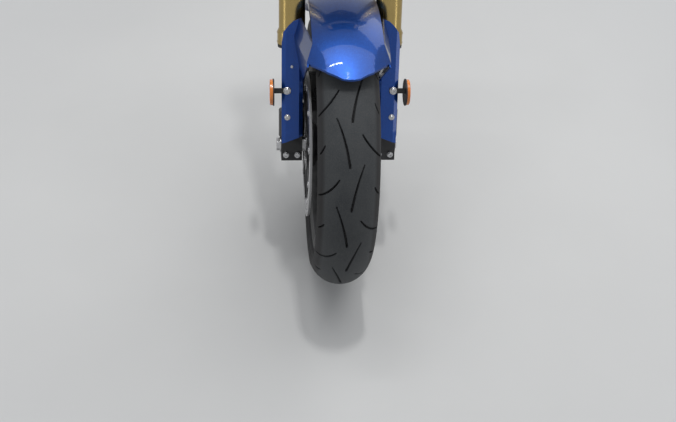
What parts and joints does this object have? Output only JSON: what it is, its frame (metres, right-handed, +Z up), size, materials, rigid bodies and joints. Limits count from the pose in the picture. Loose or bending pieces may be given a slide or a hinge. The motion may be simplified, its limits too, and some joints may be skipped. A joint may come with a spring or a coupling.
{
  "type": "motorcycle front wheel and fork assembly",
  "caption": "Motorcycle front end with a tyred wheel on twin brake discs, an upside-down fork between two yokes with a steering stem, and a crowned mudguard.",
  "frame": {"origin": "on the steering axis at the stem's lower bearing seat, on top of the lower yoke", "axes": "+Z up as on the vehicle, -Y towards its front, +X to its left along the axle"},
  "size_m": [0.29, 0.6615, 0.9827],
  "materials": {
    "tyre": "worn road tyre, dark grey",
    "wheel_black": "satin black",
    "steel": "turned steel",
    "bearing_steel": "ground steel",
    "disc_steel": "ground in circles",
    "black_alloy": "satin black",
    "caliper_black": "semi-gloss black",
    "alloy": "anodised",
    "gold_alloy": "gold anodised",
    "hard_chrome": "polished",
    "seal_rubber": "moulded",
    "friction": "sintered",
    "blue_plastic": "metallic blue under clear coat",
    "black_plastic": "moulded, fine grain",
    "amber_lens": "moulded prisms"
  },
  "bodies": {
    "fork": {"axle": "steel", "steering_stem": "steel", "stem_nut": "steel", "lower_yoke": "black_alloy", "upper_yoke": "black_alloy", "mudguard": "blue_plastic", "axle_spacer_left": "alloy", "fork_slider_left": "hard_chrome", "fork_tube_left": "gold_alloy", "dust_seal_left": "seal_rubber", "fork_cap_left": "alloy", "fork_foot_left": "black_alloy", "brake_caliper_left": "caliper_black", "brake_pads_left": "friction", "fork_guard_left": "blue_plastic", "reflector_left": "amber_lens", "reflector_bracket_left": "black_plastic", "axle_spacer_right": "alloy", "fork_slider_right": "hard_chrome", "fork_tube_right": "gold_alloy", "dust_seal_right": "seal_rubber", "fork_cap_right": "alloy", "fork_foot_right": "black_alloy", "brake_caliper_right": "caliper_black", "brake_pads_right": "friction", "fork_guard_right": "blue_plastic", "reflector_right": "amber_lens", "reflector_bracket_right": "black_plastic"},
    "front_wheel": {"tyre": "tyre", "wheel": "wheel_black", "wheel_bearing_left": "bearing_steel", "wheel_bearing_right": "bearing_steel", "brake_disc_left": "disc_steel", "brake_disc_right": "disc_steel", "disc_carrier_left": "black_alloy", "disc_carrier_right": "black_alloy"}
  },
  "joints": [
    {"name": "wheel_spin", "type": "hinge", "parent": "fork", "child": "front_wheel", "pos_m": [0, -0.25933, -0.48041], "axis": [1, 0, 0], "continuous": true}
  ]
}
